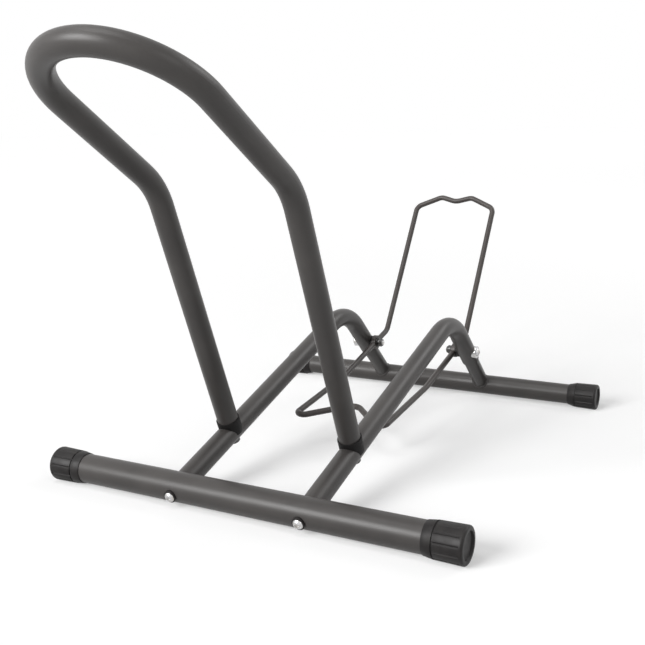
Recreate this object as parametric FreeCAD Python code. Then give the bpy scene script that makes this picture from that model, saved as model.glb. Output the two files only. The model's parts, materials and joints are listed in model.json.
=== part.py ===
import FreeCAD
import Part
import math
import os

from FreeCAD import Placement, Rotation, Vector

# Floor bike rack, in millimetres.
# X runs along the two floor tubes, +Y from the hoop to the wheel's way in, Z is up, and
# the floor is Z = 0.  Lengths and angles below are laid out in the side view (Y, Z) with
# Y = 0 on the front tube's axis.  The finished rack is then moved along Y so that the
# origin lies under the middle of its bounding box.

# ---- floor tubes and their end caps --------------------------------------------------
depth = 480.0                # front tube axis to rear tube axis
front_tube_radius = 15.0
rear_tube_radius = 12.5
floor_tube_wall = 1.5
front_width = 456.0          # over the front caps
rear_width = 450.0           # over the rear caps
front_cap_radius = 17.5
front_cap_length = 38.0
rear_cap_radius = 16.0
rear_cap_length = 36.0
cap_end_thickness = 4.0
cap_skirt_length = 9.5       # smooth cone that runs down onto the tube
cap_skirt_lip = 0.6          # thickness of the cone's thin edge
cap_groove_width = 1.4
cap_groove_depth = 1.0
cap_taper = 0.5              # the ribbed barrel is this much slimmer at its inner end
cap_edge_round = 2.2
cap_dish_depth = 2.0
cap_dish_margin = 4.5        # flat ring outside the dish
cap_dish_draft = 0.5         # the dish is this much smaller at its bottom
rib_count = 12
rib_groove_width = 2.0
rib_groove_depth = 0.9       # the grooves between the ribs are V-shaped
rib_groove_start = 3.6       # from the cap's outer face
foot_flat = 0.5              # the caps stand on a flat this deep

# ---- side rails: bent tube from the front tube up to a peak and down to a sleeve ------
tube_radius = 11.1
tube_wall = 1.5
rail_half_spacing = 72.0     # rail axes left and right of the middle
rail_slope = 17.3            # degrees
rail_run = 377.0             # front tube axis to the peak's corner, along the slope
rail_bend_radius = 66.0
sleeve_end = 98.0            # peak's corner to the sleeve's open end, along the leg
cope_gap = 0.05              # between a coped end and the tube it is pulled against

# ---- stubs welded to the rear tube ----------------------------------------------------
stub_clearance = 0.08        # between stub and sleeve, on the radius
stub_wall = 1.5
stub_insertion = 46.0        # how far the stub goes into the sleeve

# ---- hoop ------------------------------------------------------------------------------
hoop_foot_distance = 98.0    # front tube axis to the hoop's foot, along the rail
hoop_lean = 21.3             # degrees that the legs lean forward
hoop_leg_length = 284.6      # rail axis to the knee's corner
hoop_knee_radius = 66.0
hoop_arm_lean = 56.5         # degrees that the arms lean forward
hoop_arm_length = 131.8      # knee's corner to the start of the round end

# ---- saddles under the hoop's feet -----------------------------------------------------
saddle_radius = 12.3
saddle_web = 5.5             # plastic between the rail's top and the leg's end
saddle_wrap = 11.0           # how far it reaches down the rail's sides

# ---- bolts, washers and plugs ----------------------------------------------------------
bolt_radius = 3.0
bolt_head_radius = 5.25
bolt_head_height = 3.4
bolt_socket_flats = 4.0
bolt_socket_depth = 2.0
bolt_hole_clearance = 0.25   # in tubes and saddles
thread_clearance = 0.04      # stands for the thread between bolt and plug or nut
saddle_washer_radius = 6.5
saddle_washer_thickness = 1.6
plug_length = 24.0
plug_clearance = 0.03
front_bolt_engagement = 14.0
hoop_bolt_engagement = 15.0

# ---- wheel loop: one bent rod that swings on two bolts ---------------------------------
rod_radius = 3.5
pivot_distance = 79.0        # peak's corner to the pivot, along the leg
arm_slope = 14.3             # degrees, at rest
pivot_to_knee = 36.8
pivot_to_kink = 100.0
front_arm_slope = 6.5        # degrees, past the kink
kink_to_corner = 130.8
corner_to_dip = 57.0         # how far back the lower crossing's middle lies
upper_loop_angle = 56.4      # degrees above the floor
knee_to_corner = 191.5
knee_to_shoulder = 207.5
knee_to_top_dip = 201.0
shoulder_half_width = 22.0
knee_bend_radius = 16.0
kink_bend_radius = 60.0
upper_corner_radius = 11.0
shoulder_bend_radius = 12.0
top_dip_radius = 20.0
lower_corner_radius = 8.0
lower_dip_radius = 14.0

# ---- pivot -------------------------------------------------------------------------------
eye_radius = 9.0
eye_thickness = 5.0
eye_side_clearance = 0.1
eye_running_clearance = 0.06
pivot_spacer_radius = 8.0
pivot_spacer_thickness = 2.0
pivot_washer_radius = 7.5
pivot_washer_thickness = 3.0
nut_washer_radius = 6.0
nut_washer_thickness = 1.2
nut_flats = 10.0
nut_height = 5.0
nut_collar_radius = 4.4
nut_collar_height = 1.6
pivot_bolt_tail = 1.0        # bolt showing past the nut

# ---- worked out from the above -----------------------------------------------------------
front_axis_height = front_cap_radius - foot_flat
rear_axis_height = rear_cap_radius - foot_flat
stub_radius = tube_radius - tube_wall - stub_clearance
bolt_hole_radius = bolt_radius + bolt_hole_clearance
X_AXIS = Vector(1, 0, 0)


def heading(angle):
    """Unit vector in the side view, angle degrees above +Y."""
    turn = math.radians(angle)
    return Vector(0, math.cos(turn), math.sin(turn))


def leaning(angle):
    """Unit vector in the side view, angle degrees forward of upright."""
    return heading(90.0 + angle)


def regular_polygon_radius(flats, sides):
    """Corner radius of a regular polygon, from its width across flats."""
    return flats / 2.0 / math.cos(math.pi / sides)


def at_x(point, x):
    return Vector(x, point.y, point.z)


front_axis_point = Vector(0, 0, front_axis_height)
rear_axis_point = Vector(0, depth, rear_axis_height)
rail_direction = heading(rail_slope)
peak_corner = front_axis_point + rail_direction * rail_run
leg_direction = (rear_axis_point - peak_corner).normalize()
pivot_point = peak_corner + leg_direction * pivot_distance
hoop_foot_point = front_axis_point + rail_direction * hoop_foot_distance
hoop_leg_direction = leaning(hoop_lean)
hoop_arm_direction = leaning(hoop_arm_lean)
knee_corner = hoop_foot_point + hoop_leg_direction * hoop_leg_length
arm_end = knee_corner + hoop_arm_direction * hoop_arm_length
leg_end_distance = tube_radius + saddle_web
loop_half_width = (rail_half_spacing - tube_radius - pivot_spacer_thickness
                   - eye_side_clearance - eye_thickness / 2.0)


# ---- general shapes ------------------------------------------------------------------------
def rod_between(start, end, radius):
    """Solid cylinder from one point to another."""
    axis = end - start
    return Part.makeCylinder(radius, axis.Length, start, axis)


def rod_from(start, direction, length, radius):
    return Part.makeCylinder(radius, length, start, direction)


def corner_arc(before, corner, after, radius):
    """Start, middle and end of the arc that rounds a corner of a path."""
    inward = (before - corner).normalize()
    outward = (after - corner).normalize()
    half_angle = inward.getAngle(outward) / 2.0
    setback = radius / math.tan(half_angle)
    bisector = (inward + outward).normalize()
    centre = corner + bisector * (radius / math.sin(half_angle))
    return corner + inward * setback, centre - bisector * radius, corner + outward * setback


def bent_path(corners, radii):
    """Straight runs joined by tangent arcs, one radius for each inner corner."""
    edges = []
    start = corners[0]
    for index, radius in enumerate(radii):
        before, corner, after = corners[index:index + 3]
        arc_start, arc_middle, arc_end = corner_arc(before, corner, after, radius)
        edges.append(Part.LineSegment(start, arc_start).toShape())
        edges.append(Part.Arc(arc_start, arc_middle, arc_end).toShape())
        start = arc_end
    edges.append(Part.LineSegment(start, corners[-1]).toShape())
    return edges


def carried_along(section, edges):
    """Carry a flat section along tangent runs and bends: cylinders and parts of a torus."""
    solids = []
    for edge in edges:
        travel = edge.valueAt(edge.LastParameter) - edge.valueAt(edge.FirstParameter)
        if isinstance(edge.Curve, Part.Circle):
            turn = math.degrees(edge.LastParameter - edge.FirstParameter)
            solids.append(section.revolve(edge.Curve.Center, edge.Curve.Axis, turn))
            section.rotate(edge.Curve.Center, edge.Curve.Axis, turn)
        else:
            solids.append(section.extrude(travel))
            section.translate(travel)
    return solids[0].multiFuse(solids[1:])


def disc_across(edges, radius):
    """Flat disc across the start of a path."""
    first = edges[0]
    start = first.valueAt(first.FirstParameter)
    tangent = first.tangentAt(first.FirstParameter)
    return Part.Face(Part.Wire(Part.makeCircle(radius, start, tangent)))


def bent_bar(edges, radius):
    return carried_along(disc_across(edges, radius), edges)


def bent_tube(edges, radius, wall):
    return carried_along(disc_across(edges, radius).cut(disc_across(edges, radius - wall)), edges)


def mirrored(shape):
    """The same piece on the other side of the middle."""
    return shape.mirror(Vector(0, 0, 0), X_AXIS)


def placed_on(shape, seat, direction):
    """Turn a piece built along +Z to a direction and put its origin on a seat."""
    moved = shape.copy()
    moved.Placement = Placement(seat, Rotation(Vector(0, 0, 1), direction))
    return moved


def hexagon_prism(flats, height):
    radius = regular_polygon_radius(flats, 6)
    corners = [Vector(radius * math.cos(math.radians(60 * k)), radius * math.sin(math.radians(60 * k)), 0)
               for k in range(7)]
    return Part.Face(Part.makePolygon(corners)).extrude(Vector(0, 0, height))


# ---- fasteners --------------------------------------------------------------------------------
def dome_bolt(shank_length):
    """Button-head bolt with its seat at Z = 0, its shank down and its dome up."""
    sphere_radius = (bolt_head_radius ** 2 + bolt_head_height ** 2) / (2.0 * bolt_head_height)
    ball = Part.makeSphere(sphere_radius, Vector(0, 0, bolt_head_height - sphere_radius))
    head = ball.common(rod_from(Vector(0, 0, 0), Vector(0, 0, 1), bolt_head_height, bolt_head_radius))
    socket = hexagon_prism(bolt_socket_flats, bolt_socket_depth)
    socket.translate(Vector(0, 0, bolt_head_height - bolt_socket_depth))
    shank = rod_from(Vector(0, 0, -shank_length), Vector(0, 0, 1), shank_length, bolt_radius)
    return head.cut(socket).fuse(shank).removeSplitter()


def saddle_washer(axis_point, outward, tube_axis, around_radius, radius, thickness):
    """Washer with a flat outer face and an inner face curved to a tube."""
    disc = rod_from(axis_point + outward * (around_radius - radius / 2.0), outward,
                    radius / 2.0 + thickness, radius)
    tube = rod_from(axis_point - tube_axis * 2 * radius, tube_axis, 4 * radius, around_radius)
    hole = rod_from(axis_point, outward, 2 * around_radius + thickness, bolt_hole_radius)
    return disc.cut(tube).cut(hole)


def threaded_plug(start, direction, length):
    """Steel plug in a tube's bore, with the hole that takes a bolt."""
    body = rod_from(start, direction, length, tube_radius - tube_wall - plug_clearance)
    bore = rod_from(start - direction, direction, length + 2.0, bolt_radius + thread_clearance)
    return body.cut(bore)


# ---- floor tubes ----------------------------------------------------------------------------------
def floor_tube(axis_point, width, radius):
    length = width - 2 * cap_end_thickness
    start = at_x(axis_point, -length / 2.0)
    outside = rod_from(start, X_AXIS, length, radius)
    return outside.cut(rod_from(start, X_AXIS, length, radius - floor_tube_wall))


def front_crossbar():
    """Front floor tube, drilled through twice for the bolts that pull the rails on."""
    tube = floor_tube(front_axis_point, front_width, front_tube_radius)
    for x in (-rail_half_spacing, rail_half_spacing):
        start = at_x(front_axis_point, x) - rail_direction * 2 * front_tube_radius
        tube = tube.cut(rod_from(start, rail_direction, 4 * front_tube_radius, bolt_hole_radius))
    return tube


def rear_crossbar():
    """Rear floor tube with its two welded stubs, cross-drilled for the pivot bolts."""
    tube = floor_tube(rear_axis_point, rear_width, rear_tube_radius)
    bore = rod_from(at_x(rear_axis_point, -rear_width), X_AXIS, 2 * rear_width,
                    rear_tube_radius - floor_tube_wall)
    stub_top = peak_corner + leg_direction * (sleeve_end - stub_insertion)
    for x in (-rail_half_spacing, rail_half_spacing):
        start = at_x(rear_axis_point, x)
        end = at_x(stub_top, x)
        stub = rod_between(start, end, stub_radius)
        stub = stub.cut(rod_between(start, end, stub_radius - stub_wall))
        tube = tube.fuse(stub.cut(bore))
        hole_start = at_x(pivot_point, x - 2 * stub_radius)
        tube = tube.cut(rod_from(hole_start, X_AXIS, 4 * stub_radius, bolt_hole_radius))
    return tube


def end_cap(tube_radius_inside, radius, length):
    """Ribbed plastic cap, built along +Z from its outer face to its skirt's thin edge."""
    barrel_end = length - cap_skirt_length - cap_groove_width
    inner_barrel_radius = radius - cap_taper
    dish_radius = radius - cap_dish_margin
    lip_radius = tube_radius_inside + cap_skirt_lip
    edge = cap_edge_round * (1 - math.sqrt(0.5))
    outline = [
        Vector(0, 0, cap_dish_depth),
        Vector(dish_radius - cap_dish_draft, 0, cap_dish_depth),
        Vector(dish_radius, 0, 0),
        Vector(radius - cap_edge_round, 0, 0),
    ]
    edges = [Part.LineSegment(a, b).toShape() for a, b in zip(outline, outline[1:])]
    round_end = Vector(radius, 0, cap_edge_round)
    edges.append(Part.Arc(outline[-1], Vector(radius - edge, 0, edge), round_end).toShape())
    rest = [
        round_end,
        Vector(inner_barrel_radius, 0, barrel_end),
        Vector(inner_barrel_radius - cap_groove_depth, 0, barrel_end),
        Vector(inner_barrel_radius - cap_groove_depth, 0, barrel_end + cap_groove_width),
        Vector(inner_barrel_radius, 0, barrel_end + cap_groove_width),
        Vector(lip_radius, 0, length),
        Vector(tube_radius_inside, 0, length),
        Vector(tube_radius_inside, 0, cap_end_thickness),
        Vector(0, 0, cap_end_thickness),
        outline[0],
    ]
    edges += [Part.LineSegment(a, b).toShape() for a, b in zip(rest, rest[1:])]
    cap = Part.Face(Part.Wire(edges)).revolve(Vector(0, 0, 0), Vector(0, 0, 1), 360)
    return cap.cut(rib_grooves(radius, rib_groove_start, barrel_end))


def rib_grooves(radius, low, high):
    """The V-shaped grooves between the ribs of a cap, as cutters."""
    corners = [
        Vector(radius - rib_groove_depth, 0, low),
        Vector(radius + rib_groove_depth, rib_groove_width, low),
        Vector(radius + rib_groove_depth, -rib_groove_width, low),
    ]
    groove = Part.Face(Part.makePolygon(corners + corners[:1])).extrude(Vector(0, 0, high - low))
    grooves = []
    for index in range(rib_count):
        copy = groove.copy()
        copy.rotate(Vector(0, 0, 0), Vector(0, 0, 1), 360.0 * (index + 0.5) / rib_count)
        grooves.append(copy)
    return Part.makeCompound(grooves)


def fitted_cap(axis_point, width, tube_radius_inside, radius, length):
    """End cap on the left end of a floor tube, with the flat that it stands on."""
    cap = placed_on(end_cap(tube_radius_inside, radius, length), at_x(axis_point, -width / 2.0), X_AXIS)
    below_floor = Part.makeBox(2 * length, 2 * radius, radius,
                               Vector(-width / 2.0 - length / 2.0, axis_point.y - radius, -radius))
    return cap.cut(below_floor)


# ---- rails ---------------------------------------------------------------------------------------
def side_rail():
    """Right rail: coped at the front, bent at the peak, open as a sleeve at the rear."""
    start = at_x(front_axis_point, rail_half_spacing)
    peak = at_x(peak_corner, rail_half_spacing)
    end = peak + leg_direction * sleeve_end
    rail = bent_tube(bent_path([start, peak, end], [rail_bend_radius]), tube_radius, tube_wall)
    rail = rail.cut(rod_from(at_x(front_axis_point, 0), X_AXIS, 2 * rail_half_spacing,
                             front_tube_radius + cope_gap))
    foot = at_x(hoop_foot_point, rail_half_spacing)
    rail = rail.cut(rod_from(foot - hoop_leg_direction * 2 * tube_radius, hoop_leg_direction,
                             4 * tube_radius, bolt_hole_radius))
    return rail.cut(rod_from(at_x(pivot_point, rail_half_spacing - 2 * tube_radius), X_AXIS,
                             4 * tube_radius, bolt_hole_radius))


def front_plug():
    """Plug in the rail's coped end that the front bolt pulls on."""
    start = at_x(front_axis_point, rail_half_spacing)
    plug = threaded_plug(start, rail_direction, front_tube_radius + plug_length)
    return plug.cut(rod_from(at_x(front_axis_point, 0), X_AXIS, 2 * rail_half_spacing,
                             front_tube_radius + cope_gap))


def front_washer():
    return saddle_washer(at_x(front_axis_point, rail_half_spacing), -rail_direction, X_AXIS,
                         front_tube_radius, saddle_washer_radius, saddle_washer_thickness)


def front_bolt():
    seat_distance = front_tube_radius + saddle_washer_thickness
    seat = at_x(front_axis_point, rail_half_spacing) - rail_direction * seat_distance
    shank = seat_distance + front_tube_radius + front_bolt_engagement
    return placed_on(dome_bolt(shank), seat, -rail_direction)


# ---- hoop ----------------------------------------------------------------------------------------
def hoop():
    """One tube bent up from the left foot, over the knees and round the top to the right."""
    half = rail_half_spacing
    foot = at_x(hoop_foot_point + hoop_leg_direction * leg_end_distance, half)
    knee = at_x(knee_corner, half)
    end = at_x(arm_end, half)
    right = bent_path([foot, knee, end], [hoop_knee_radius])
    top = at_x(arm_end, 0) + hoop_arm_direction * half
    crown = Part.Arc(end, top, at_x(end, -half)).toShape()
    left = bent_path([at_x(end, -half), at_x(knee, -half), at_x(foot, -half)], [hoop_knee_radius])
    return bent_tube(right + [crown] + left, tube_radius, tube_wall)


def hoop_saddle():
    """Plastic spacer, hollowed to sit over the rail, flat under the hoop's leg."""
    foot = at_x(hoop_foot_point, rail_half_spacing)
    body = rod_from(foot + hoop_leg_direction * (tube_radius - saddle_wrap), hoop_leg_direction,
                    saddle_wrap + saddle_web, saddle_radius)
    rail = rod_from(foot - rail_direction * 2 * saddle_radius, rail_direction, 4 * saddle_radius, tube_radius)
    hole = rod_from(foot, hoop_leg_direction, 2 * leg_end_distance, bolt_hole_radius)
    return body.cut(rail).cut(hole)


def hoop_plug():
    foot = at_x(hoop_foot_point, rail_half_spacing)
    return threaded_plug(foot + hoop_leg_direction * leg_end_distance, hoop_leg_direction, plug_length)


def hoop_washer():
    return saddle_washer(at_x(hoop_foot_point, rail_half_spacing), -hoop_leg_direction, rail_direction,
                         tube_radius, saddle_washer_radius, saddle_washer_thickness)


def hoop_bolt():
    seat_distance = tube_radius + saddle_washer_thickness
    seat = at_x(hoop_foot_point, rail_half_spacing) - hoop_leg_direction * seat_distance
    shank = seat_distance + leg_end_distance + hoop_bolt_engagement
    return placed_on(dome_bolt(shank), seat, -hoop_leg_direction)


# ---- wheel loop -------------------------------------------------------------------------------------
def wheel_loop():
    """One rod: the upper loop behind the wheel, two arms and the crossing under the wheel."""
    half = loop_half_width
    knee = pivot_point + heading(arm_slope) * pivot_to_knee
    kink = pivot_point - heading(arm_slope) * pivot_to_kink
    lower_corner = kink - heading(front_arm_slope) * kink_to_corner
    lower_dip = lower_corner + heading(front_arm_slope) * corner_to_dip
    rising = heading(upper_loop_angle)
    top_dip = knee + rising * knee_to_top_dip
    shoulder = at_x(knee + rising * knee_to_shoulder, shoulder_half_width)
    upper_corner = at_x(knee + rising * knee_to_corner, half)
    corners = [shoulder, upper_corner, at_x(knee, half), at_x(kink, half), at_x(lower_corner, half), lower_dip]
    radii = [upper_corner_radius, knee_bend_radius, kink_bend_radius, lower_corner_radius]
    top_arc = corner_arc(at_x(shoulder, -shoulder_half_width), top_dip, shoulder, top_dip_radius)
    shoulder_arc = corner_arc(top_dip, shoulder, upper_corner, shoulder_bend_radius)
    low_arc = corner_arc(at_x(lower_corner, half), lower_dip, at_x(lower_corner, -half), lower_dip_radius)
    edges = [
        half_arc(top_arc[1], top_arc[2], top_dip, top_dip_radius),
        Part.LineSegment(top_arc[2], shoulder_arc[0]).toShape(),
        Part.Arc(*shoulder_arc).toShape(),
    ]
    side_edges = bent_path([shoulder_arc[2]] + corners[1:5] + [low_arc[0]], radii)
    edges += side_edges
    edges.append(half_arc(low_arc[1], low_arc[0], lower_dip, lower_dip_radius, reverse=True))
    rod = bent_bar(edges, rod_radius)
    pivot = at_x(pivot_point, half)
    eye = rod_from(pivot - X_AXIS * (eye_thickness / 2.0), X_AXIS, eye_thickness, eye_radius)
    for sense in (-1, 1):
        start = pivot + X_AXIS * (sense * eye_thickness / 2.0)
        rod = rod.cut(rod_from(start, X_AXIS * sense, 2 * rod_radius, eye_radius))
    bore = rod_from(pivot - X_AXIS * eye_thickness, X_AXIS, 2 * eye_thickness,
                    bolt_radius + eye_running_clearance)
    right = rod.fuse(eye).cut(bore)
    return right.fuse(mirrored(right)).removeSplitter()


def half_arc(middle, end, corner, radius, reverse=False):
    """Half of a corner's arc, from its middle on the mid-plane to one end."""
    outward = (corner - middle).normalize()
    half_angle = math.asin(radius / (radius + (corner - middle).Length))
    centre = corner - outward * (radius / math.sin(half_angle))
    quarter = centre + ((middle - centre) + (end - centre)).normalize() * radius
    points = [middle, quarter, end]
    if reverse:
        points.reverse()
    return Part.Arc(*points).toShape()


# ---- pivot ---------------------------------------------------------------------------------------------
def pivot_spacer():
    """Bush between rail and eye, hollowed to the rail."""
    return saddle_washer(at_x(pivot_point, rail_half_spacing), -X_AXIS, leg_direction,
                         tube_radius, pivot_spacer_radius, pivot_spacer_thickness)


def pivot_head_washer():
    return saddle_washer(at_x(pivot_point, rail_half_spacing), X_AXIS, leg_direction,
                         tube_radius, pivot_washer_radius, pivot_washer_thickness)


def nut_washer():
    """Flat washer between eye and nut."""
    outer_face = at_x(pivot_point, loop_half_width - eye_thickness / 2.0 - eye_side_clearance)
    disc = rod_from(outer_face, -X_AXIS, nut_washer_thickness, nut_washer_radius)
    return disc.cut(rod_from(outer_face + X_AXIS, -X_AXIS, nut_washer_thickness + 2, bolt_hole_radius))


def nut_seat_x():
    return loop_half_width - eye_thickness / 2.0 - eye_side_clearance - nut_washer_thickness


def pivot_nut():
    """Lock nut with a round collar."""
    nut = hexagon_prism(nut_flats, nut_height)
    collar = rod_from(Vector(0, 0, nut_height), Vector(0, 0, 1), nut_collar_height, nut_collar_radius)
    bore = rod_from(Vector(0, 0, -1), Vector(0, 0, 1), nut_height + nut_collar_height + 2,
                    bolt_radius + thread_clearance)
    return placed_on(nut.fuse(collar).cut(bore), at_x(pivot_point, nut_seat_x()), -X_AXIS)


def pivot_bolt():
    seat_x = rail_half_spacing + tube_radius + pivot_washer_thickness
    tail_x = nut_seat_x() - nut_height - nut_collar_height - pivot_bolt_tail
    return placed_on(dome_bolt(seat_x - tail_x), at_x(pivot_point, seat_x), X_AXIS)


# ---- the whole rack ----------------------------------------------------------------------------------------
def build_rack():
    """Every piece by name.  Paired pieces are built on the right and mirrored."""
    pieces = {
        "front_crossbar": front_crossbar(),
        "rear_crossbar": rear_crossbar(),
        "hoop": hoop(),
        "wheel_loop": wheel_loop(),
    }
    left_caps = {
        "front_cap": fitted_cap(front_axis_point, front_width, front_tube_radius,
                                front_cap_radius, front_cap_length),
        "rear_cap": fitted_cap(rear_axis_point, rear_width, rear_tube_radius,
                               rear_cap_radius, rear_cap_length),
    }
    for name, cap in left_caps.items():
        pieces[name + "_left"] = cap
        pieces[name + "_right"] = mirrored(cap)
    right_pieces = {
        "side_rail": side_rail(),
        "front_plug": front_plug(),
        "front_washer": front_washer(),
        "front_bolt": front_bolt(),
        "hoop_saddle": hoop_saddle(),
        "hoop_plug": hoop_plug(),
        "hoop_washer": hoop_washer(),
        "hoop_bolt": hoop_bolt(),
        "pivot_spacer": pivot_spacer(),
        "pivot_head_washer": pivot_head_washer(),
        "nut_washer": nut_washer(),
        "pivot_nut": pivot_nut(),
        "pivot_bolt": pivot_bolt(),
    }
    for name, piece in right_pieces.items():
        pieces[name + "_right"] = piece
        pieces[name + "_left"] = mirrored(piece)
    return pieces


def main():
    os.makedirs("parts", exist_ok=True)
    pieces = build_rack()
    front = pieces["hoop"].optimalBoundingBox().YMin
    back = pieces["wheel_loop"].optimalBoundingBox().YMax
    shift = Vector(0, -(front + back) / 2.0, 0)
    for name, piece in pieces.items():
        piece.translate(shift)
        piece.exportStep("parts/" + name + ".step")
        print("%-24s solids %d valid %s volume %.0f" % (name, len(piece.Solids), piece.isValid(), piece.Volume))
    pivot = pivot_point + shift
    print("moved along Y by %.3f" % shift.y)
    print("pivot axis at Y %.3f Z %.3f" % (pivot.y, pivot.z))


main()
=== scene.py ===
"""Looks of a floor bike rack, built around its packed construction.

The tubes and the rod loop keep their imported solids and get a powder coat.  The moulded end
caps, the saddles, the bolts, washers and nuts are modelled here with their small roundings,
and the weld beads of the rear stubs are added.  All sizes are in metres.
"""

import json
import logging
import math
from contextlib import contextmanager
from dataclasses import dataclass
from enum import Enum
from functools import cached_property
from typing import Any, Callable, Iterator

import bmesh
import bpy
from mathutils import Matrix, Vector

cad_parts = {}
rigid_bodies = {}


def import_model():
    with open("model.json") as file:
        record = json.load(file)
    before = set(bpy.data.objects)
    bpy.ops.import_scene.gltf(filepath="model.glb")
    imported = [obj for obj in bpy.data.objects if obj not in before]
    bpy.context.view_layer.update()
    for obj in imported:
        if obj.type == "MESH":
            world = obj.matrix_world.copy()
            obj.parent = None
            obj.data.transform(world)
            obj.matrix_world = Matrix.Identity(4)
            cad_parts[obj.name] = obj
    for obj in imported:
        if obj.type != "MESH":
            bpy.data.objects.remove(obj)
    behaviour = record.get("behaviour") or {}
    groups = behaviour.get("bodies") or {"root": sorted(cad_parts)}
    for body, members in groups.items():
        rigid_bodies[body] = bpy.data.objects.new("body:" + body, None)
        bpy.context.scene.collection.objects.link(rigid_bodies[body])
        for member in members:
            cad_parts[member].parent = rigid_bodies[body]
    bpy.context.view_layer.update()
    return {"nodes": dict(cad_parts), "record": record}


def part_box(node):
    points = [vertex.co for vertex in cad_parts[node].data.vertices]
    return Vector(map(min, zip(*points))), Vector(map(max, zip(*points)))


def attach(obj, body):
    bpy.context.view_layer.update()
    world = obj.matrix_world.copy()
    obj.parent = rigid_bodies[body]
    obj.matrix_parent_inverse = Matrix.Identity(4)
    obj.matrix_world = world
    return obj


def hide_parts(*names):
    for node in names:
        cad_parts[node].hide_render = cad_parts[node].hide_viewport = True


LOG = logging.getLogger("floor_bike_rack")
MM = 0.001
WHITE = (1.0, 1.0, 1.0, 1.0)
FACING = 0.9  # a face whose normal has more than this along the axis is an end face
ROUND_SIDES = 48
FINE_SIDES = 96
HOLE_SIDES = 32
HEX_SIDES = 6
CUTTER_REACH = 3.0  # half a cutter's length, in radii of the piece that it cuts
ACROSS = Vector((1.0, 0.0, 0.0))
UPRIGHT = Vector((0.0, 0.0, 1.0))

Triple = tuple[float, float, float]
Pair = tuple[float, float]


class Slot(Enum):
    """The record's material slots."""

    POWDER_COAT = "powder_coat"
    ROD_COAT = "rod_coat"
    BLACK_PLASTIC = "black_plastic"
    ZINC = "zinc"
    BLACK_ZINC = "black_zinc"
    PLAIN_STEEL = "plain_steel"


# ---- layout -----------------------------------------------------------------------------


def heading(degrees: float) -> Vector:
    """Gives a unit vector in the side view.

    Args:
        degrees: Angle above the +Y direction.

    Returns:
        The vector, with no X part.
    """
    turn = math.radians(degrees)
    return Vector((0.0, math.cos(turn), math.sin(turn)))


def half_turn(point: Vector, axis: Vector) -> Matrix:
    """Turns a piece half round about a line.

    Args:
        point: A point on the line.
        axis: The line's direction.

    Returns:
        The matrix of the turn.
    """
    there = Matrix.Translation(point)
    return there @ Matrix.Rotation(math.pi, 4, axis) @ there.inverted()


@dataclass(frozen=True)
class Layout:
    """Driving dimensions of the rack and the places that follow from them."""

    front_tube_radius: float = 15.0 * MM
    rear_tube_radius: float = 12.5 * MM
    tube_radius: float = 11.1 * MM
    stub_radius: float = 9.52 * MM
    rail_half_spacing: float = 72.0 * MM
    rail_slope: float = 17.3
    rail_run: float = 377.0 * MM
    pivot_distance: float = 79.0 * MM
    hoop_foot_distance: float = 98.0 * MM
    hoop_lean: float = 21.3

    @property
    def front_axis(self) -> Vector:
        """Middle of the front tube."""
        low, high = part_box("front_crossbar")
        return Vector((0.0, (low.y + high.y) / 2.0, (low.z + high.z) / 2.0))

    @property
    def rear_axis(self) -> Vector:
        """Middle of the rear tube, whose stubs rise to the front."""
        low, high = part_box("rear_crossbar")
        return Vector((0.0, high.y - self.rear_tube_radius, low.z + self.rear_tube_radius))

    @property
    def rail_direction(self) -> Vector:
        """Along the rails, rising to the rear."""
        return heading(self.rail_slope)

    @property
    def peak(self) -> Vector:
        """Corner of the rails' peak, in the mid-plane."""
        return self.front_axis + self.rail_direction * self.rail_run

    @property
    def leg_direction(self) -> Vector:
        """Down the rails' rear legs."""
        return (self.rear_axis - self.peak).normalized()

    @property
    def pivot(self) -> Vector:
        """The loop's pivot, in the mid-plane."""
        return self.peak + self.leg_direction * self.pivot_distance

    @property
    def hoop_foot(self) -> Vector:
        """Where the hoop's leg axis meets the rail's axis, in the mid-plane."""
        return self.front_axis + self.rail_direction * self.hoop_foot_distance

    @property
    def hoop_leg_direction(self) -> Vector:
        """Up the hoop's legs."""
        return heading(90.0 + self.hoop_lean)

    @property
    def to_left_rail(self) -> Matrix:
        """The shift from the right rail to the left one."""
        return Matrix.Translation(ACROSS * -2.0 * self.rail_half_spacing)

    def on_rail(self, point: Vector) -> Vector:
        """Moves a mid-plane point out to the right rail's plane."""
        return Vector((self.rail_half_spacing, point.y, point.z))


# ---- finishes ---------------------------------------------------------------------------


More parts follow.
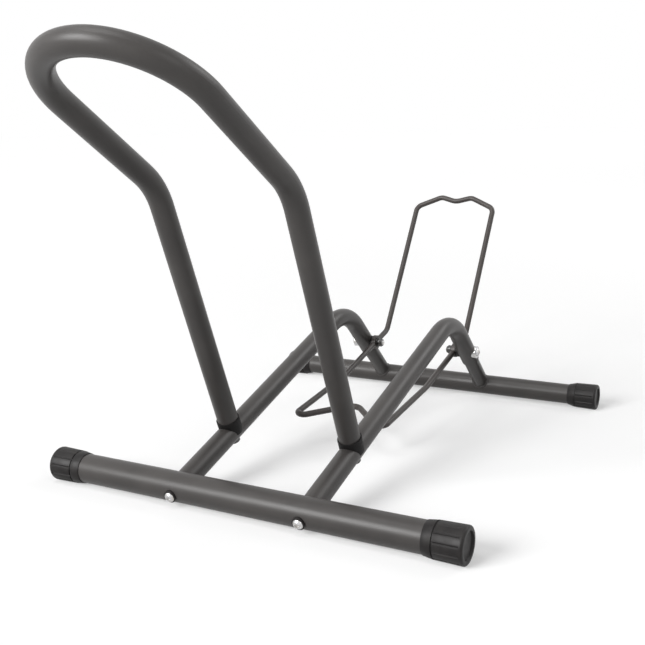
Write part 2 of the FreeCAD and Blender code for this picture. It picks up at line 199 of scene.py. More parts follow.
class ShaderTree:
    """The node tree of a material or of the world, with short calls for its nodes."""

    def __init__(self, owner: bpy.types.Material | bpy.types.World,
                 output: str = "ShaderNodeOutputMaterial") -> None:
        """Empties the tree down to its output.

        Args:
            owner: The material or the world.
            output: Type of the output node.
        """
        owner.use_nodes = True
        self.owner = owner
        self.tree = owner.node_tree
        self.tree.nodes.clear()
        self.output = self.node(output)

    @cached_property
    def place(self) -> bpy.types.NodeSocket:
        """Socket of the shaded point, in the object's own frame."""
        return self.node("ShaderNodeTexCoord").outputs["Object"]

    @cached_property
    def seen(self) -> bpy.types.NodeSocket:
        """Socket that is 1 for camera and mirror rays and 0 for all others."""
        path = self.node("ShaderNodeLightPath")
        return self.maths("MAXIMUM", path.outputs["Is Camera Ray"], path.outputs["Is Glossy Ray"])

    def node(self, kind: str, inputs: dict[str, Any] | None = None,
             **settings: Any) -> bpy.types.Node:
        """Adds a node.

        Args:
            kind: The node's type.
            inputs: Values for its input sockets.
            settings: Values for its own settings.

        Returns:
            The new node.
        """
        made = self.tree.nodes.new(kind)
        for name, value in settings.items():
            setattr(made, name, value)
        for name, value in (inputs or {}).items():
            made.inputs[name].default_value = value
        return made

    def link(self, source: bpy.types.NodeSocket, target: bpy.types.NodeSocket) -> None:
        """Joins two sockets."""
        self.tree.links.new(source, target)

    def noise(self, size: float, detail: float) -> bpy.types.NodeSocket:
        """Adds a noise pattern.

        Args:
            size: Width of one blotch, in metres.
            detail: Octaves of finer noise.

        Returns:
            The socket of the noise's value.
        """
        mapping = self.node("ShaderNodeMapping", {"Scale": (1.0 / size,) * 3})
        self.link(self.place, mapping.inputs["Vector"])
        noise = self.node("ShaderNodeTexNoise", {"Scale": 1.0, "Detail": detail})
        self.link(mapping.outputs["Vector"], noise.inputs["Vector"])
        return noise.outputs["Fac"]

    def maths(self, operation: str, *values: bpy.types.NodeSocket | float) -> bpy.types.NodeSocket:
        """Adds a math node.

        Args:
            operation: What it does.
            values: Its inputs, as sockets or numbers.

        Returns:
            The socket of the result.
        """
        made = self.node("ShaderNodeMath", operation=operation)
        for value, target in zip(values, made.inputs):
            if isinstance(value, bpy.types.NodeSocket):
                self.link(value, target)
            else:
                target.default_value = value
        return made.outputs["Value"]

    def between(self, value: bpy.types.NodeSocket, span: Pair,
                result: Pair = (0.0, 1.0)) -> bpy.types.NodeSocket:
        """Stretches a value from one span to another and clamps it.

        Args:
            value: Socket of the value.
            span: Values that become the ends of the result.
            result: Both ends of the result.

        Returns:
            The socket of the result.
        """
        spread = self.node("ShaderNodeMapRange", {
            "From Min": span[0], "From Max": span[1], "To Min": result[0], "To Max": result[1]})
        self.link(value, spread.inputs["Value"])
        return spread.outputs["Result"]

    def mixed(self, share: bpy.types.NodeSocket, first: Triple | bpy.types.NodeSocket,
              second: Triple) -> bpy.types.NodeSocket:
        """Mixes two colours.

        Args:
            share: Socket of the second colour's share.
            first: The first colour, or the socket of one.
            second: The second colour.

        Returns:
            The socket of the mixed colour.
        """
        mix = self.node("ShaderNodeMix", data_type="RGBA")
        self.link(share, mix.inputs["Factor"])
        if isinstance(first, bpy.types.NodeSocket):
            self.link(first, mix.inputs["A"])
        else:
            mix.inputs["A"].default_value = (*first, 1.0)
        mix.inputs["B"].default_value = (*second, 1.0)
        return mix.outputs["Result"]

    def bump(self, height: bpy.types.NodeSocket, relief: Pair,
             under: bpy.types.NodeSocket | None = None) -> bpy.types.NodeSocket:
        """Turns a height into a surface normal.

        Args:
            height: Socket of the height.
            relief: Share of the effect, and the height of the full value in metres.
            under: Normal of a coarser bump that this one adds to.

        Returns:
            The socket of the normal.
        """
        bump = self.node("ShaderNodeBump", {"Strength": relief[0], "Distance": relief[1]})
        self.link(height, bump.inputs["Height"])
        if under is not None:
            self.link(under, bump.inputs["Normal"])
        return bump.outputs["Normal"]

    def surface(self, colour: bpy.types.NodeSocket, roughness: bpy.types.NodeSocket,
                normal: bpy.types.NodeSocket, **uniform: float) -> bpy.types.Material:
        """Closes the tree with a surface shader.

        Args:
            colour: Socket of the base colour.
            roughness: Socket of the roughness.
            normal: Socket of the normal.
            uniform: Values that are the same all over, by socket name with _ for a space.

        Returns:
            The finished material.
        """
        shader = self.node("ShaderNodeBsdfPrincipled")
        for name, value in uniform.items():
            shader.inputs[name.replace("_", " ")].default_value = value
        self.link(colour, shader.inputs["Base Color"])
        self.link(roughness, shader.inputs["Roughness"])
        self.link(normal, shader.inputs["Normal"])
        self.link(shader.outputs["BSDF"], self.output.inputs["Surface"])
        return self.owner


@dataclass(frozen=True)
class PowderCoat:
    """Satin graphite powder coat with a fine orange peel."""

    name: str = "graphite_powder_coat"
    colour: Triple = (0.047, 0.043, 0.041)
    pale: Triple = (0.061, 0.056, 0.053)
    speck: Triple = (0.135, 0.127, 0.122)
    roughness: Pair = (0.36, 0.43)
    specular: float = 0.4
    cloud_size: float = 45.0 * MM
    pale_clouds: Pair = (0.35, 0.68)
    rough_clouds: Pair = (0.3, 0.7)
    grain_size: float = 0.28 * MM
    specked_grain: Pair = (0.66, 0.80)
    speck_share: float = 0.55
    grain_relief: Pair = (0.16, 0.05 * MM)
    peel_size: float = 1.3 * MM
    peel_relief: Pair = (0.25, 0.12 * MM)

    def material(self) -> bpy.types.Material:
        """Builds the coat's material.

        Returns:
            The finished material.
        """
        tree = ShaderTree(bpy.data.materials.new(self.name))
        clouds = tree.noise(self.cloud_size, detail=4.0)
        grain = tree.noise(self.grain_size, detail=2.0)
        peel = tree.noise(self.peel_size, detail=2.0)
        colour = tree.mixed(tree.between(clouds, self.pale_clouds), self.colour, self.pale)
        specks = tree.between(grain, self.specked_grain, (0.0, self.speck_share))
        colour = tree.mixed(specks, colour, self.speck)
        roughness = tree.between(clouds, self.rough_clouds, self.roughness)
        normal = tree.bump(peel, self.peel_relief)
        normal = tree.bump(grain, self.grain_relief, normal)
        return tree.surface(colour, roughness, normal, Specular_IOR_Level=self.specular)


@dataclass(frozen=True)
class MouldedPlastic:
    """Black moulded plastic with a fine sandblasted grain and light handling marks."""

    name: str = "black_moulded_plastic"
    colour: Triple = (0.012, 0.0105, 0.0105)
    dusty: Triple = (0.025, 0.0225, 0.021)
    roughness: Pair = (0.42, 0.56)
    specular: float = 0.28
    mark_size: float = 9.0 * MM
    dusty_marks: Pair = (0.45, 0.75)
    dusty_share: float = 0.8
    rough_marks: Pair = (0.35, 0.7)
    grain_size: float = 0.35 * MM
    grain_relief: Pair = (0.35, 0.06 * MM)

    def material(self) -> bpy.types.Material:
        """Builds the plastic's material.

        Returns:
            The finished material.
        """
        tree = ShaderTree(bpy.data.materials.new(self.name))
        grain = tree.noise(self.grain_size, detail=2.0)
        marks = tree.noise(self.mark_size, detail=5.0)
        dust = tree.between(marks, self.dusty_marks, (0.0, self.dusty_share))
        colour = tree.mixed(dust, self.colour, self.dusty)
        roughness = tree.between(marks, self.rough_marks, self.roughness)
        normal = tree.bump(grain, self.grain_relief)
        return tree.surface(colour, roughness, normal, Specular_IOR_Level=self.specular)


@dataclass(frozen=True)
class ZincPlate:
    """Bright zinc plating with fine drawing marks and a faint warm bloom."""

    name: str = "bright_zinc"
    colour: Triple = (0.66, 0.66, 0.67)
    bloom: Triple = (0.56, 0.53, 0.48)
    roughness: Pair = (0.20, 0.36)
    bloom_size: float = 4.0 * MM
    warm_bloom: Pair = (0.42, 0.72)
    rough_bloom: Pair = (0.3, 0.7)
    mark_size: float = 0.5 * MM
    mark_relief: Pair = (0.12, 0.03 * MM)

    def material(self) -> bpy.types.Material:
        """Builds the plating's material.

        Returns:
            The finished material.
        """
        tree = ShaderTree(bpy.data.materials.new(self.name))
        marks = tree.noise(self.mark_size, detail=3.0)
        bloom = tree.noise(self.bloom_size, detail=3.0)
        colour = tree.mixed(tree.between(bloom, self.warm_bloom), self.colour, self.bloom)
        roughness = tree.between(bloom, self.rough_bloom, self.roughness)
        normal = tree.bump(marks, self.mark_relief)
        return tree.surface(colour, roughness, normal, Metallic=1.0)


@dataclass(frozen=True)
class TurnedSteel:
    """Plain turned steel, a little oily."""

    name: str = "turned_steel"
    colour: Triple = (0.36, 0.35, 0.34)
    stain: Triple = (0.22, 0.19, 0.17)
    roughness: Pair = (0.32, 0.5)
    stain_size: float = 7.0 * MM
    dark_stains: Pair = (0.5, 0.75)
    rough_stains: Pair = (0.3, 0.7)
    line_size: float = 0.4 * MM
    line_relief: Pair = (0.2, 0.04 * MM)

    def material(self) -> bpy.types.Material:
        """Builds the steel's material.

        Returns:
            The finished material.
        """
        tree = ShaderTree(bpy.data.materials.new(self.name))
        lines = tree.noise(self.line_size, detail=2.0)
        stains = tree.noise(self.stain_size, detail=4.0)
        colour = tree.mixed(tree.between(stains, self.dark_stains), self.colour, self.stain)
        roughness = tree.between(stains, self.rough_stains, self.roughness)
        normal = tree.bump(lines, self.line_relief)
        return tree.surface(colour, roughness, normal, Metallic=1.0)


@dataclass(frozen=True)
class StudioFloor:
    """Pale floor that keeps the object's shadow and runs into the background.

    The lamps' light falls off away from the object.  A glow that only camera and mirror rays
    see makes up for what is missing, so that the open floor shows the background's white.
    world_light and lamp_light are the floor's own brightness under the object, and the lamps'
    share falls by the power lamp_fall of the squared distance, measured in lamp_reach.
    """

    name: str = "pale_floor"
    colour: Triple = (0.62, 0.62, 0.62)
    roughness: float = 0.6
    world_light: float = 0.136
    lamp_light: float = 0.505
    lamp_reach: float = 2.9
    lamp_fall: float = 1.3
    grain_size: float = 0.6 * MM
    grain_relief: Pair = (0.1, 0.05 * MM)

    def material(self) -> bpy.types.Material:
        """Builds the floor's material.

        Returns:
            The finished material.
        """
        tree = ShaderTree(bpy.data.materials.new(self.name))
        grain = tree.noise(self.grain_size, detail=2.0)
        diffuse = tree.node("ShaderNodeBsdfDiffuse", {
            "Color": (*self.colour, 1.0), "Roughness": self.roughness})
        tree.link(tree.bump(grain, self.grain_relief), diffuse.inputs["Normal"])
        distance = tree.node("ShaderNodeVectorMath", operation="LENGTH")
        tree.link(tree.place, distance.inputs["Vector"])
        away = tree.maths("DIVIDE", distance.outputs["Value"], self.lamp_reach)
        away = tree.maths("MULTIPLY_ADD", away, away, 1.0)
        fall = tree.maths("POWER", away, -self.lamp_fall)
        missing = tree.maths("MULTIPLY_ADD", fall, -self.lamp_light, 1.0 - self.world_light)
        glow = tree.node("ShaderNodeEmission", {"Color": WHITE})
        tree.link(tree.maths("MULTIPLY", missing, tree.seen), glow.inputs["Strength"])
        both = tree.node("ShaderNodeAddShader")
        tree.link(diffuse.outputs["BSDF"], both.inputs[0])
        tree.link(glow.outputs["Emission"], both.inputs[1])
        tree.link(both.outputs["Shader"], tree.output.inputs["Surface"])
        return tree.owner


class Finishes:
    """Every finish, built once and shared."""

    def __init__(self) -> None:
        """Builds the materials: one per slot, and a duller plastic for the saddles, darkened with
        painted shade.
        """
        rod_coat = PowderCoat(name="graphite_rod_coat", colour=(0.050, 0.042, 0.039),
                              pale=(0.065, 0.056, 0.052))
        black_zinc = ZincPlate(name="black_zinc_plate", colour=(0.11, 0.11, 0.11),
                               bloom=(0.075, 0.07, 0.065))
        # The saddles' plastic is darker than the caps' partly for a duller grade and partly as
        # painted shade of the hoop's legs above them.
        dull_black_painted_shade = MouldedPlastic(name="dull_black_painted_shade_plastic", colour=(0.004, 0.0035, 0.0035),
                                    dusty=(0.009, 0.008, 0.008), roughness=(0.6, 0.75),
                                    specular=0.25)
        self.by_slot: dict[Slot, bpy.types.Material] = {
            Slot.POWDER_COAT: PowderCoat().material(),
            Slot.ROD_COAT: rod_coat.material(),
            Slot.BLACK_PLASTIC: MouldedPlastic().material(),
            Slot.ZINC: ZincPlate().material(),
            Slot.BLACK_ZINC: black_zinc.material(),
            Slot.PLAIN_STEEL: TurnedSteel().material(),
        }
        self.dull_black_painted_shade = dull_black_painted_shade.material()

    def dress(self, piece: bpy.types.Object, slot: Slot) -> None:
        """Puts a finish on a piece.

        Args:
            piece: The object to dress.
            slot: The slot whose finish it takes.
        """
        piece.data.materials.clear()
        piece.data.materials.append(self.by_slot[slot])


# ---- modelling --------------------------------------------------------------------------


class Bench:
    """Short calls for modelling with operators, one piece at a time.

    A piece is modelled along +Z at the origin and then placed, so that its object stays at
    the origin and its place is in its mesh.
    """

    @staticmethod
    def clear() -> None:
        """Deselects everything."""
        bpy.ops.object.select_all(action="DESELECT")

    @classmethod
    def take(cls, piece: bpy.types.Object) -> None:
        """Selects one piece alone and makes it the active one.

        Args:
            piece: The object.
        """
        cls.clear()
        piece.select_set(True)
        bpy.context.view_layer.objects.active = piece

    @classmethod
    def cylinder(cls, name: str, radius: float, low: float, high: float,
                 sides: int = ROUND_SIDES) -> bpy.types.Object:
        """Adds a cylinder that stands on Z.

        Args:
            name: The piece's name.
            radius: Its radius.
            low: Its lower end.
            high: Its upper end.
            sides: Number of sides.

        Returns:
            The new object, alone in the selection.
        """
        cls.clear()
        bpy.ops.mesh.primitive_cylinder_add(vertices=sides, radius=radius, depth=high - low,
                                            location=(0.0, 0.0, (low + high) / 2.0))
        made = bpy.context.active_object
        made.name = name
        made.data.name = name
        bpy.ops.object.transform_apply(location=True, rotation=True, scale=True)
        return made

    @staticmethod
    @contextmanager
    def editing() -> Iterator[None]:
        """Keeps the active object in edit mode for a while, to pick faces."""
        bpy.ops.object.mode_set(mode="EDIT")
        bpy.ops.mesh.select_mode(type="FACE")
        bpy.ops.mesh.select_all(action="DESELECT")
        yield
        bpy.ops.object.mode_set(mode="OBJECT")

    @staticmethod
    def pick_faces(test: Callable[[bmesh.types.BMFace], bool]) -> None:
        """Selects the faces of the edited mesh that pass a test, and no others.

        Args:
            test: Says whether a face is wanted.
        """
        mesh = bpy.context.active_object.data
        shape = bmesh.from_edit_mesh(mesh)
        for face in shape.faces:
            face.select_set(False)
        for face in shape.faces:
            if test(face):
                face.select_set(True)
        bmesh.update_edit_mesh(mesh)

    @classmethod
    def pick_end(cls, sense: int) -> None:
        """Selects the faces that look along +Z, or along -Z where sense is -1."""
        cls.pick_faces(lambda face: face.normal.z * sense > FACING)

    @staticmethod
    def grow(distance: float, factor: float = 1.0, height: float = 0.0) -> None:
        """Extrudes the selected end face along Z and then scales it about the axis.

        Args:
            distance: How far the face moves along Z.
            factor: Scale of the face across the axis.
            height: Z of the face after the move, which the scale keeps.
        """
        bpy.ops.mesh.extrude_region_move(TRANSFORM_OT_translate={"value": (0.0, 0.0, distance)})
        if factor != 1.0:
            bpy.ops.transform.resize(value=(factor, factor, 1.0),
                                     center_override=(0.0, 0.0, height))

    @staticmethod
    def finish_with(piece: bpy.types.Object, kind: str, **settings: Any) -> None:
        """Adds a modifier and applies it.

        Args:
            piece: The object.
            kind: The modifier's type.
            settings: Its settings.
        """
        modifier = piece.modifiers.new(kind.lower(), kind)
        for name, value in settings.items():
            setattr(modifier, name, value)
        bpy.context.view_layer.objects.active = piece
        bpy.ops.object.modifier_apply(modifier=modifier.name)

    @classmethod
    def cut(cls, piece: bpy.types.Object, cutter: bpy.types.Object) -> None:
        """Takes one shape out of another and throws the cutter away."""
        cls.finish_with(piece, "BOOLEAN", operation="DIFFERENCE", object=cutter, solver="EXACT")
        bpy.data.objects.remove(cutter)

    @classmethod
    def round_edges(cls, piece: bpy.types.Object, width: float, segments: int = 2,
                    angle: float = 32.0) -> None:
        """Rounds the sharp edges of a piece and shades it smooth between them.

        Args:
            piece: The object.
            width: Width of the rounding.
            segments: Faces across the rounding.
            angle: Edges sharper than this many degrees are rounded.
        """
        cls.finish_with(piece, "BEVEL", width=width, segments=segments, limit_method="ANGLE",
                        angle_limit=math.radians(angle), harden_normals=False)
        cls.smooth(piece, angle)

    @classmethod
    def smooth(cls, piece: bpy.types.Object, angle: float) -> None:
        """Shades a piece smooth, up to an angle in degrees."""
        cls.take(piece)
        bpy.ops.object.shade_smooth_by_angle(angle=math.radians(angle))

    @classmethod
    def move(cls, piece: bpy.types.Object, matrix: Matrix) -> None:
        """Moves a piece and keeps its new place in its mesh.

        Args:
            piece: The object.
            matrix: The move.
        """
        piece.matrix_world = matrix
        cls.take(piece)
        bpy.ops.object.transform_apply(location=True, rotation=True, scale=True)

    @classmethod
    def place(cls, piece: bpy.types.Object, seat: Vector, direction: Vector) -> bpy.types.Object:
        """Puts a piece that was modelled along +Z where it belongs.

        Args:
            piece: The object.
            seat: Where its origin goes.
            direction: Where its +Z goes.

        Returns:
            The same object, with its place in its mesh.
        """
        turn = direction.to_track_quat("Z", "Y").to_matrix().to_4x4()
        cls.move(piece, Matrix.Translation(seat) @ turn)
        return piece

    @classmethod
    def tube_cutter(cls, point: Vector, direction: Vector, radius: float,
                    piece_radius: float) -> bpy.types.Object:
        """Makes a long cylinder that stands for a tube's outside.

        Args:
            point: A point on the tube's axis.
            direction: The tube's axis.
            radius: The tube's radius.
            piece_radius: Radius of the piece that it cuts.

        Returns:
            The cutter.
        """
        half = CUTTER_REACH * piece_radius
        return cls.place(cls.cylinder("cutter", radius, -half, half, FINE_SIDES), point, direction)


@dataclass
class SubAssembly:
    """What every group of pieces shares: the layout and the finishes."""

    layout: Layout
    finishes: Finishes

    def hand_over(self, piece: bpy.types.Object, slot: Slot, node: str | None,
                  own_finish: bpy.types.Material | None = None) -> None:
        """Dresses a piece that is fixed to the frame and ties it there.

        Args:
            piece: The finished piece.
            slot: The slot whose finish it takes.
            node: The node that it stands for, if any.
            own_finish: A finish to use in place of the slot's.
        """
        self.finishes.dress(piece, slot)
        if own_finish is not None:
            piece.data.materials[0] = own_finish
        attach(piece, "frame")
        if node is not None:
            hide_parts(node)
        faces = len(piece.data.polygons)
        LOG.info("%s: %d faces, in place of %s", piece.name, faces, node or "nothing")

    def hand_over_pair(self, piece: bpy.types.Object, slot: Slot, node: str | None,
                       to_left: Matrix, own_finish: bpy.types.Material | None = None) -> None:
        """Copies a finished right piece to the left and hands both over.

        Args:
            piece: The right piece, named without its side.
            slot: The slot whose finish both take.
            node: The nodes that they stand for, named without the side, if any.
            to_left: Takes the right piece's place to the left one's.
            own_finish: A finish to use in place of the slot's.
        """
        name = piece.name
        left = piece.copy()
        left.data = piece.data.copy()
        bpy.context.collection.objects.link(left)
        Bench.move(left, to_left)
        for side, made in (("left", left), ("right", piece)):
            made.name = f"{name}_{side}"
            self.hand_over(made, slot, node and f"{node}_{side}", own_finish)


# ---- end caps ---------------------------------------------------------------------------


@dataclass
class EndCaps(SubAssembly):
    """Four ribbed caps on the ends of the floor tubes."""

    rib_count: int = 12
    columns_per_rib: int = 8
    edge_round: float = 2.2 * MM
    edge_segments: int = 4
    taper: float = 0.5 * MM
    skirt_length: float = 9.5 * MM
    groove_width: float = 1.4 * MM
    groove_depth: float = 1.0 * MM
    skirt_lip: float = 0.6 * MM
    end_thickness: float = 4.0 * MM
    rib_groove_depth: float = 0.9 * MM
    rib_groove_start: float = 3.6 * MM
    rib_groove_run_in: float = 0.4 * MM
    dish_margin: float = 4.5 * MM
    dish_depth: float = 2.0 * MM
    dish_draft: float = 0.5 * MM
    edge_softness: float = 0.3 * MM
    flatness: float = 0.999
    middle: float = 1.0 * MM
    level_slack: float = 0.1 * MM
    fine: float = 0.001 * MM

    def build(self) -> None:
        """Builds all four caps."""
        self.close_tube("front", self.layout.front_tube_radius)
        self.close_tube("rear", self.layout.rear_tube_radius)

    def close_tube(self, end: str, bore: float) -> None:
        """Builds the two caps of a floor tube.

        Args:
            end: Which tube: front or rear.
            bore: The tube's radius.
        """
        low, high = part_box(f"{end}_cap_right")
        radius = (high.y - low.y) / 2.0
        length = high.x - low.x
        barrel_end = length - self.skirt_length - self.groove_width
        sides = self.rib_count * self.columns_per_rib
        cap = Bench.cylinder(f"cap_{end}", radius, 0.0, barrel_end, sides)
        self.shape_end_face()
        self.shape_barrel(radius, barrel_end)
        self.shape_skirt(radius, barrel_end, length, bore)
        self.sink_grooves(radius, barrel_end)
        Bench.round_edges(cap, self.edge_softness)
        axis = Vector((0.0, (low.y + high.y) / 2.0, high.z - radius))
        Bench.place(cap, axis + ACROSS * high.x, -ACROSS)
        self.cut_foot_flat()
        self.hand_over_pair(cap, Slot.BLACK_PLASTIC, f"{end}_cap", half_turn(axis, UPRIGHT))

    def shape_end_face(self) -> None:
        """Rounds the outer rim and sinks the dish."""
        with Bench.editing():
            Bench.pick_end(-1)
            bpy.ops.mesh.bevel(offset=self.edge_round, segments=self.edge_segments, affect="EDGES")
            Bench.pick_faces(lambda face: face.normal.z < -self.flatness
                             and face.calc_center_median().xy.length < self.middle)
            bpy.ops.mesh.inset(thickness=self.dish_margin - self.edge_round, depth=0.0)
            bpy.ops.mesh.inset(thickness=self.dish_draft, depth=-self.dish_depth)

    def shape_barrel(self, radius: float, barrel_end: float) -> None:
        """Divides the barrel where its grooves start and tapers it.

        Args:
            radius: The cap's radius.
            barrel_end: Where the ribbed barrel ends.
        """
        with Bench.editing():
            for level in (self.rib_groove_start, self.rib_groove_start + self.rib_groove_run_in):
                bpy.ops.mesh.select_all(action="SELECT")
                bpy.ops.mesh.bisect(plane_co=(0, 0, level), plane_no=(0, 0, 1),
                                    threshold=self.fine)
        for vertex in bpy.context.active_object.data.vertices:
            share = max(0.0, vertex.co.z - self.edge_round) / (barrel_end - self.edge_round)
            shrink = 1.0 - self.taper * share / radius
            vertex.co.x *= shrink
            vertex.co.y *= shrink

    def sink_grooves(self, radius: float, barrel_end: float) -> None:
        """Sinks the V-shaped grooves between the ribs.

        Args:
            radius: The cap's radius.
            barrel_end: Where the ribbed barrel ends.
        """
        pitch = 2.0 * math.pi / self.rib_count
        near = pitch / self.columns_per_rib / 4.0
        sunk_from = self.rib_groove_start + self.rib_groove_run_in / 2.0
        outside = radius - self.taper - self.groove_depth / 2.0
        for vertex in bpy.context.active_object.data.vertices:
            reach = vertex.co.xy.length
            turn = math.atan2(vertex.co.y, vertex.co.x) % pitch
            on_barrel = reach > outside and sunk_from < vertex.co.z < barrel_end + self.fine
            if on_barrel and abs(turn - pitch / 2.0) < near:
                vertex.co.x *= 1.0 - self.rib_groove_depth / reach
                vertex.co.y *= 1.0 - self.rib_groove_depth / reach

    def shape_skirt(self, radius: float, barrel_end: float, length: float, bore: float) -> None:
        """Draws out the ring groove, the conical skirt and the bore.

        Args:
            radius: The cap's radius.
            barrel_end: Where the ribbed barrel ends.
            length: The cap's length.
            bore: Radius of the tube inside it.
        """
        inner = radius - self.taper
        neck = inner - self.groove_depth
        floor = barrel_end - self.level_slack
        with Bench.editing():
            Bench.pick_faces(lambda face: face.normal.z > FACING
                             and face.calc_center_median().z > floor)
            bpy.ops.mesh.inset(thickness=self.groove_depth, depth=0.0)
            Bench.grow(self.groove_width)
            Bench.grow(0.0, inner / neck, barrel_end + self.groove_width)
            Bench.grow(self.skirt_length, (bore + self.skirt_lip) / inner, length)
            bpy.ops.mesh.inset(thickness=self.skirt_lip, depth=0.0)
            Bench.grow(self.end_thickness - length)

    def cut_foot_flat(self) -> None:
        """Cuts the cap's underside flat where it stands."""
        with Bench.editing():
            bpy.ops.mesh.select_all(action="SELECT")
            bpy.ops.mesh.bisect(plane_co=(0, 0, 0), plane_no=(0, 0, 1), use_fill=True,
                                clear_inner=True, threshold=self.fine)


# ---- saddles ----------------------------------------------------------------------------


@dataclass
class Saddles(SubAssembly):
    """Plastic spacers between the hoop's legs and the rails."""

    radius: float = 12.3 * MM
    web: float = 5.5 * MM
    wrap: float = 11.0 * MM
    softness: float = 0.3 * MM
    edge_segments: int = 3

    def build(self) -> None:
        """Builds both saddles."""
        plan = self.layout
        foot = plan.on_rail(plan.hoop_foot)
        saddle = Bench.cylinder("saddle", self.radius, plan.tube_radius - self.wrap,
                                plan.tube_radius + self.web, FINE_SIDES)
        Bench.place(saddle, foot, plan.hoop_leg_direction)
        rail = Bench.tube_cutter(foot, plan.rail_direction, plan.tube_radius, self.radius)
        Bench.cut(saddle, rail)
        Bench.round_edges(saddle, self.softness, self.edge_segments)
        # The saddles take the darker plastic, whose colour holds painted shade from the hoop's
        # legs.
        self.hand_over_pair(saddle, Slot.BLACK_PLASTIC, "hoop_saddle", plan.to_left_rail,
                            self.finishes.dull_black_painted_shade)


# ---- fasteners --------------------------------------------------------------------------


@dataclass
class Fasteners(SubAssembly):
    """Dome bolts, curved and flat washers, spacers and lock nuts."""

    bolt_radius: float = 3.0 * MM
    head_radius: float = 5.25 * MM
    head_height: float = 3.4 * MM
    head_rings: int = 7
    rim_height: float = 0.5 * MM
    socket_flats: float = 4.0 * MM
    socket_depth: float = 2.0 * MM
    socket_margin: float = 1.12
    thread_pitch: float = 1.0 * MM
    thread_depth: float = 0.35 * MM
    thread_turns: int = 10
    flank_share: float = 0.4
    crest_share: float = 0.2
    washer_radius: float = 6.5 * MM
    washer_thickness: float = 1.6 * MM
    pivot_washer_radius: float = 7.5 * MM
    pivot_washer_thickness: float = 3.0 * MM
    spacer_radius: float = 8.0 * MM
    spacer_thickness: float = 2.0 * MM
    hole_radius: float = 3.25 * MM
    flat_washer_radius: float = 6.0 * MM
    nut_flats: float = 10.0 * MM
    nut_height: float = 5.0 * MM
    nut_clearance: float = 0.04 * MM
    chamfer_start: float = 0.985
    chamfer_end: float = 0.68
    chamfer_shell: float = 1.6
    chamfer_sides: int = 64
    collar_radius: float = 4.4 * MM
    collar_height: float = 1.6 * MM
    collar_overlap: float = 0.2 * MM
    overcut: float = 1.0 * MM
    softness: float = 0.18 * MM
    bolt_edge_angle: float = 50.0
    washer_edge_angle: float = 40.0
    nut_edge_angle: float = 35.0

    def build(self) -> None:
        """Builds the fasteners of both sides."""
        plan = self.layout
        self.screwed_joint("front", plan.on_rail(plan.front_axis), -plan.rail_direction, ACROSS,
                           plan.front_tube_radius, Slot.ZINC, Slot.BLACK_PLASTIC)
        self.screwed_joint("hoop", plan.on_rail(plan.hoop_foot), -plan.hoop_leg_direction,
                           plan.rail_direction, plan.tube_radius, Slot.BLACK_ZINC,
                           Slot.BLACK_ZINC)
        self.pivot_parts(plan.on_rail(plan.pivot))

    def screwed_joint(self, name: str, point: Vector, outward: Vector, tube: Vector,
                      tube_radius: float, bolt_slot: Slot, washer_slot: Slot) -> None:
        """Builds the bolts of a joint and the curved washers under their heads.

        Args:
            name: Which joint: front or hoop.
            point: Where the right bolt's axis meets the tube's axis.
            outward: From there to the bolt's head.
            tube: The tube's axis.
            tube_radius: The tube's radius.
            bolt_slot: The bolts' finish.
            washer_slot: The washers' finish.
        """
        to_left = self.layout.to_left_rail
        washer = self.curved_washer(f"washer_{name}", point, outward, tube, tube_radius,
                                    self.washer_radius, self.washer_thickness)
        self.hand_over_pair(washer, washer_slot, f"{name}_washer", to_left)
        seat = point + outward * (tube_radius + self.washer_thickness)
        bolt = self.dome_bolt(name, seat, outward)
        self.hand_over_pair(bolt, bolt_slot, f"{name}_bolt", to_left)

    @staticmethod
    def reach(node: str, seat: Vector, outward: Vector) -> float:
        """Finds how long a bolt's shank is.

        Args:
            node: The bolt's node.
            seat: Where its head sits.
            outward: From the seat to the head.

        Returns:
            The shank's length.
        """
        corners = (vertex.co for vertex in bpy.data.objects[node].data.vertices)
        return max((seat - corner).dot(outward) for corner in corners)

    def dome_bolt(self, name: str, seat: Vector, outward: Vector) -> bpy.types.Object:
        """Models the right dome bolt of a joint, first with its seat at Z = 0.

        Args:
            name: Which joint: front, hoop or pivot.
            seat: Where its head sits.
            outward: From the seat to the head.

        Returns:
            The bolt.
        """
        length = self.reach(f"{name}_bolt_right", seat, outward)
        bolt = Bench.cylinder(f"bolt_{name}", self.head_radius, 0.0, self.rim_height)
        dome = self.head_height - self.rim_height
        ball = (self.head_radius ** 2 + dome ** 2) / (2.0 * dome)
        socket_corner = self.socket_flats / math.sqrt(3.0)
        narrowing = socket_corner * self.socket_margin - self.head_radius
        with Bench.editing():
            Bench.pick_end(1)
            radius, height = self.head_radius, 0.0
            for ring in range(1, self.head_rings + 1):
                wanted = self.head_radius + narrowing * ring / self.head_rings
                rise = math.sqrt(ball ** 2 - wanted ** 2) - (ball - dome)
                Bench.grow(rise - height, wanted / radius, self.rim_height + rise)
                radius, height = wanted, rise
            Bench.pick_end(-1)
            bpy.ops.mesh.inset(thickness=self.head_radius - self.bolt_radius, depth=0.0)
            level = self.thread_turns * self.thread_pitch - length
            Bench.grow(level)
            core = (self.bolt_radius - self.thread_depth) / self.bolt_radius
            flank = self.thread_pitch * self.flank_share
            crest = self.thread_pitch * self.crest_share
            for _ in range(self.thread_turns):
                for factor in (core, 1.0 / core):
                    level -= flank
                    Bench.grow(-flank, factor, level)
                level -= crest
                Bench.grow(-crest)
        socket = Bench.cylinder("socket", socket_corner, self.head_height - self.socket_depth,
                                self.head_height + self.overcut, HEX_SIDES)
        Bench.cut(bolt, socket)
        Bench.round_edges(bolt, self.softness, angle=self.bolt_edge_angle)
        return Bench.place(bolt, seat, outward)

